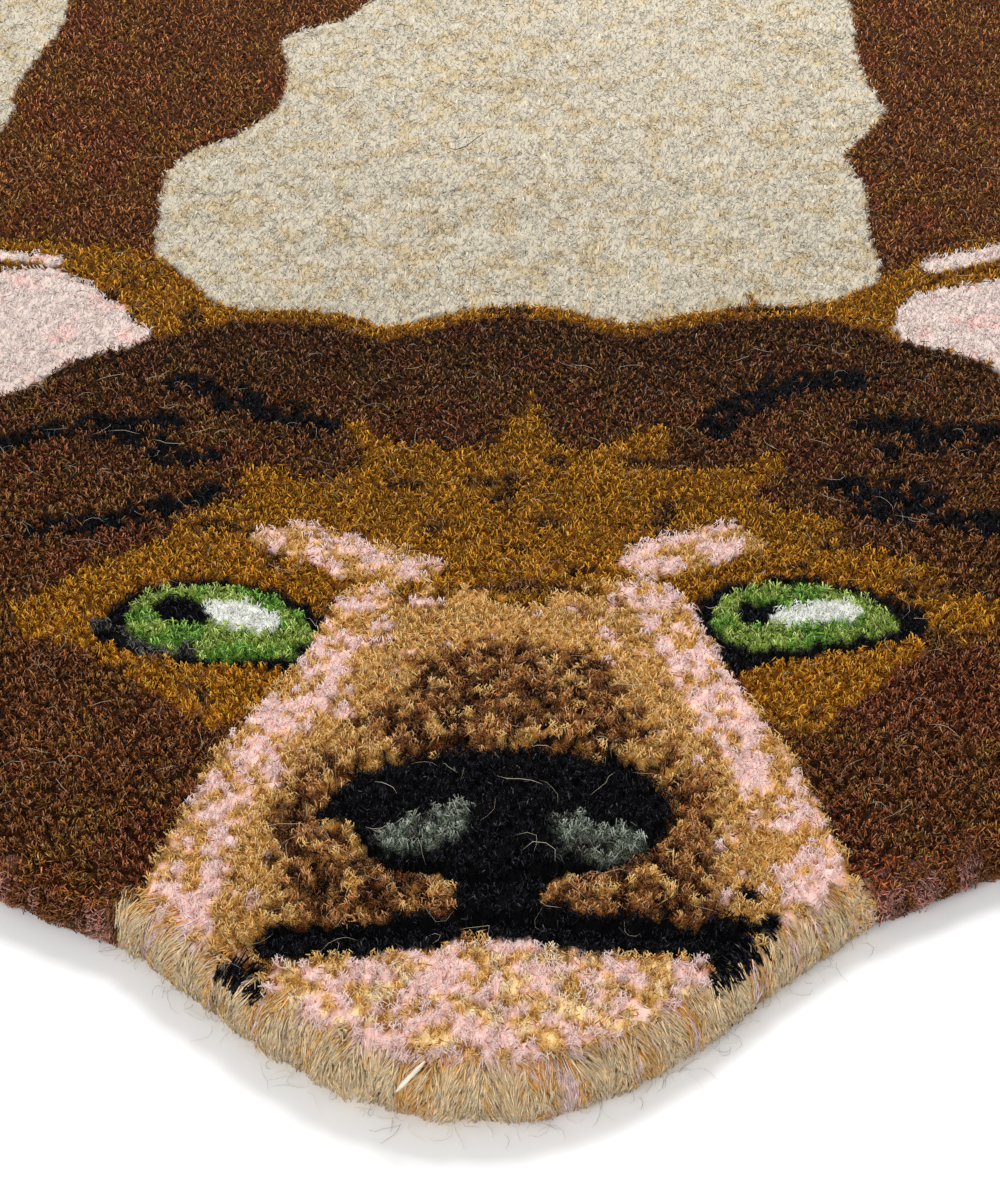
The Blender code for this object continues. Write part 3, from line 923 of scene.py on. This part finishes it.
def make_rim(name, seen, spacing, width, length):
    """The wool round the rug's edge."""
    places, way = ring_places(spacing, 1.0)
    keep = in_view(*places.T) == seen
    places, way = places[keep], way[keep]
    n = len(places)
    z = rng.uniform(RIM_FLOOR, RIM_HEIGHTS[-1], n)
    reach = np.interp(z, RIM_HEIGHTS, RIM_REACHES)
    lean = np.radians(np.interp(z, RIM_HEIGHTS, RIM_LEANS))
    strand = by_muzzle(*places.T)
    along, rise = np.arange(n) * spacing, np.where(strand, z * STRAND_HEIGHT, z)
    tuft = -0.5
    for share, size, seed in RIM_CLUMPS:
        tuft = tuft + share * lattice_noise(along, rise, size, seed)
    lift = rng.normal(0, RIM_UNEVEN, n) + RIM_LIFT * tuft
    out = np.column_stack([way * np.cos(lean)[:, None], np.sin(lean)])
    over = places + way * (RIM_INSET + reach)[:, None]
    tip = np.column_stack([over, z]) + out * lift[:, None]
    direction = splayed(out, RIM_ANGLES)
    direction[strand] = hanging(way, lean, out, along, rise)[strand]
    long = length * rng.uniform(*SIZE_SPREAD, n) * np.where(strand, STRAND_LENGTH, 1.0)
    low = tip[:, 2] - direction[:, 2] * long < RIM_FLOOR
    direction[low, 2] = ((tip[:, 2] - RIM_FLOOR) / long)[low]
    tip[:, 2] = np.maximum(tip[:, 2], LEAST_HEIGHT)
    yarn, light = yarns_at(*over.T, np.maximum(-reach, 0))
    light *= np.interp(PALETTE[yarn] @ LUMINANCE, RIM_YARN_LEVELS, RIM_YARN_LIGHT)
    thick = width * rng.uniform(*WIDTH_SPREAD, n)
    thick[yarn == YARN_NAMES.index("black")] *= RIM_BLACK_WIDTH
    # Painted light on the clumps that stand out, painted shade between them
    colour = yarn_colour(yarn, light * tone_of(yarn) * (1 + RIM_CLUMP_PAINTED_LIGHT * tuft))
    return make_slivers(name, tip, unit(direction), long, thick, colour)


pieces.append(make_rim("rim_face", True, 0.030, 0.36, 3.6))
pieces.append(make_rim("rim_rest", False, 0.31, 1.1, 6.0))

# name: how many, from and to along the rug in mm, width and length in mm, and the colour
STRAYS = {
    "loose_fibres": (620, 15, 600, 0.13, 12.0, (0.60, 0.52, 0.40)),
    "dark_fibres": (70, 440, 780, 0.26, 8.0, (0.16, 0.10, 0.06)),
    "floor_fibres": (90, -16, 75, 0.10, 9.0, (0.42, 0.40, 0.38)),
    "rim_fibres": (110, -16, 72, 0.13, 8.0, (0.78, 0.72, 0.60)),
}
STRAY_STEPS = 4
STRAY_LENGTHS = (0.4, 1.3)  # times the length in the table
STRAY_BEND, STRAY_WOBBLE = 0.6, 0.25  # radians a step
STRAY_RISE, STRAY_ARCH = 0.7, (0.3, 1.6)  # mm over the pile at its ends, and more between
STRAY_CEILING = 21.5  # mm
STRAY_INSET = 20  # mm in from the outline: loose fibres of the pile start here
STRAY_MIDDLE = 1.3  # over 1, more of them lie towards the muzzle
PILE_EDGE = 4  # mm in from the outline: fibres outside it lie low
RIM_TOP, RIM_GAP = 4.0, 0.25  # mm: how high the solid counts there, and the gap above it
ON_RIM = 100  # mm: strays of a row that ends before this start on the rim
RIM_STEP, RIM_HALF, RIM_OFF = 4.0, 150, 3  # mm apart, to each side, and off the outline
STRAY_HALF, STRAY_TRIES = 300, 20  # mm to each side, and places tried for each fibre
TUBE_TURNS = np.radians((90, 210, 330))
TUBE_SPREAD, TUBE_TONES = (0.7, 1.3), (0.6, 1.15)
TUBE_TIP, TUBE_FLOOR = 0.4, 0.05  # width of a tube's ends, and its least height in mm
SIDE_SPAN = 0.3  # of a tube's row when laid out flat
CAP = ((0.93, 0.0), (0.98, 0.45), (0.93, 0.9))


def stray_starts(count, low, high):
    """Where single fibres start: on the rim near the floor, or on the pile."""
    if high < ON_RIM:
        places, way = ring_places(RIM_STEP, 1.0)
        keep = np.flatnonzero((places[:, 1] < high) & (np.abs(places[:, 0]) < RIM_HALF))
        pick = rng.choice(keep, count)
        off = RIM_INSET + rng.uniform(-RIM_OFF, RIM_OFF, count)
        return places[pick] + way[pick] * off[:, None]
    x = rng.uniform(-STRAY_HALF, STRAY_HALF, STRAY_TRIES * count)
    y = low + (high - low) * rng.random(len(x)) ** STRAY_MIDDLE
    keep = in_view(x, y)
    keep[keep] = from_ring(x[keep], y[keep])[0] > STRAY_INSET
    return np.stack([x, y], 1)[keep][:count]


def stray_paths(count, low, high, length):
    """Curled paths of single loose fibres, each over the pile or down the rim to the floor."""
    start = stray_starts(count, low, high)
    n = len(start)
    heading = rng.uniform(0, math.tau, n)
    bend = rng.normal(0, STRAY_BEND, n)
    step = length * rng.uniform(*STRAY_LENGTHS, n) / STRAY_STEPS
    path = [start]
    for _ in range(STRAY_STEPS):
        heading = heading + bend + rng.normal(0, STRAY_WOBBLE, n)
        path.append(path[-1] + np.stack([np.cos(heading), np.sin(heading)], 1) * step[:, None])
    path = np.stack(path, 1)
    flat = path.reshape(-1, 2)
    height = surface_heights(*flat.T).reshape(path.shape[:2])
    arch = np.sin(np.linspace(0, math.pi, STRAY_STEPS + 1))
    rise = STRAY_RISE + arch * rng.uniform(*STRAY_ARCH, n)[:, None]
    inset = from_ring(*flat.T)[0].reshape(path.shape[:2])
    beside = np.minimum(height, RIM_TOP) + RIM_GAP + rise * 0.5
    z = np.where(inset > PILE_EDGE, height + rise, beside)
    return np.dstack([path, np.clip(z, LEAST_HEIGHT, STRAY_CEILING)])


def tube_faces(steps):
    """Triangles of one closed tube, and where their corners lie in its row laid out flat."""
    faces, places = [(0, 2, 1)], [CAP]
    for s in range(steps - 1):
        for k in range(3):
            a, b, j = 3 * s + k, 3 * s + (k + 1) % 3, 3
            u, v, w = s / steps, (s + 1) / steps, k * SIDE_SPAN
            faces += [(a, b, b + j), (a, b + j, a + j)]
            places += [((u, w), (u, w + SIDE_SPAN), (v, w + SIDE_SPAN))]
            places += [((u, w), (v, w + SIDE_SPAN), (v, w))]
    end = 3 * (steps - 1)
    faces.append((end, end + 1, end + 2))
    places.append((CAP[0], CAP[2], CAP[1]))
    return np.array(faces), np.array(places)


def make_tubes(name, path, width, tint):
    """Loose fibres as thin closed tubes."""
    n, steps = path.shape[:2]
    ahead = unit(np.gradient(path, axis=1))
    side = unit(np.cross(ahead, (0.0, 0.0, 1.0)))
    up = np.cross(side, ahead)
    ends = (0, 1, steps - 2, steps - 1)
    taper = np.interp(np.arange(steps), ends, (TUBE_TIP, 1, 1, TUBE_TIP))
    thick = width / 2 * rng.uniform(*TUBE_SPREAD, n)[:, None] * taper
    rings = []
    for turn in TUBE_TURNS:
        rings.append(path + (side * math.cos(turn) + up * math.sin(turn)) * thick[:, :, None])
    points = np.stack(rings, 2).reshape(-1, 3)
    points[:, 2] = np.maximum(points[:, 2], TUBE_FLOOR)
    faces, places = tube_faces(steps)
    rows = np.arange(n)[:, None, None]
    uvs = np.stack([np.zeros((n, len(faces), 3)) + places[:, :, 0],
                    (rows + CELL_MARGIN + places[:, :, 1]) / n], 3)
    faces = (rows * 3 * steps + faces).reshape(-1, 3)
    colours = np.repeat(np.array(tint) * rng.uniform(*TUBE_TONES, (n, 1)), 3 * steps, 0)
    return mesh_piece(name, points, faces, uvs, colours, points / FIBRE_WIDTH)


for name, (count, low, high, width, length, tint) in STRAYS.items():
    pieces.append(make_tubes(name, stray_paths(count, low, high, length), width, tint))

# Single fibres that show in the photograph: name, width in mm, colour, then places in mm
FOUND_FIBRES = (
    ("white_straw", 1.2, (0.80, 0.74, 0.62), (
        (-24.2, 1.0, 12.6), (-22.2, 1.2, 15.4), (-20.3, 1.8, 17.7), (-18.4, 2.9, 19.4),
        (-16.6, 4.6, 20.3))),
    ("brown_curl", 0.5, (0.20, 0.12, 0.06), (
        (-40.4, 601.0, 20.2), (-36.0, 596.8, 20.6), (-31.0, 600.5, 20.9), (-27.0, 609.0, 20.8),
        (-21.3, 621.0, 20.3))),
)
for name, width, tint, path in FOUND_FIBRES:
    pieces.append(make_tubes(name, np.array([path]), width, tint))

for piece in [cloth] + pieces:
    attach(piece, "root")
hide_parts("rug")

# ----- stage

FLOOR_HALF, STUDIO_LIGHT = 6.0, 0.56
# name: place, aim, size and power
LIGHTS = {
    "key": ((0.35, 1.2, 1.9), (0.0, -0.5, 0.0), (0.9, 0.8), 55.0),
    "fill": ((-0.5, -2.0, 1.2), (0.0, -0.5, 0.0), (1.6, 1.2), 18.0),
}
# The camera fitted to the photograph: its place, its right, up and back, and its lens in mm
CAMERA_PLACE = (0.0222, -1.1167, 0.4259)
CAMERA_AXES = (
    (0.99936, 0.02860, -0.02144), (0.00114, 0.57398, 0.81887), (0.03573, -0.81837, 0.57358))
SENSOR, LENS = 36.0, 62.49


def make_floor():
    mesh = bpy.data.meshes.new("floor")
    s = FLOOR_HALF
    mesh.from_pydata([(-s, -s, 0), (s, -s, 0), (s, s, 0), (-s, s, 0)], [], [(0, 1, 2, 3)])
    mesh.materials.append(floor_material())
    floor = add_object("floor", mesh)


def make_light(name, place, aim, size, power):
    """A soft rectangular lamp."""
    data = bpy.data.lights.new(name, "AREA")
    data.shape = "RECTANGLE"
    data.size, data.size_y = size
    data.energy = power
    lamp = add_object(name, data)
    lamp.location = place
    lamp.rotation_mode = "QUATERNION"
    lamp.rotation_quaternion = (Vector(aim) - Vector(place)).to_track_quat("-Z", "Y")


def make_world():
    world = bpy.data.worlds.new("studio")
    world.use_nodes = True
    background = world.node_tree.nodes["Background"]
    background.inputs["Color"].default_value = (1.0, 1.0, 1.0, 1.0)
    background.inputs["Strength"].default_value = STUDIO_LIGHT
    bpy.context.scene.world = world


def make_camera():
    data = bpy.data.cameras.new("camera")
    data.sensor_width, data.lens = SENSOR, LENS
    data.clip_start, data.clip_end = 0.01, 50.0
    camera = add_object("camera", data)
    turn = Matrix(CAMERA_AXES).transposed().to_4x4()
    camera.matrix_world = Matrix.Translation(CAMERA_PLACE) @ turn
    bpy.context.scene.camera = camera


make_floor()
make_world()
for name, row in LIGHTS.items():
    make_light(name, *row)
make_camera()
bpy.context.scene.view_settings.view_transform = "Standard"
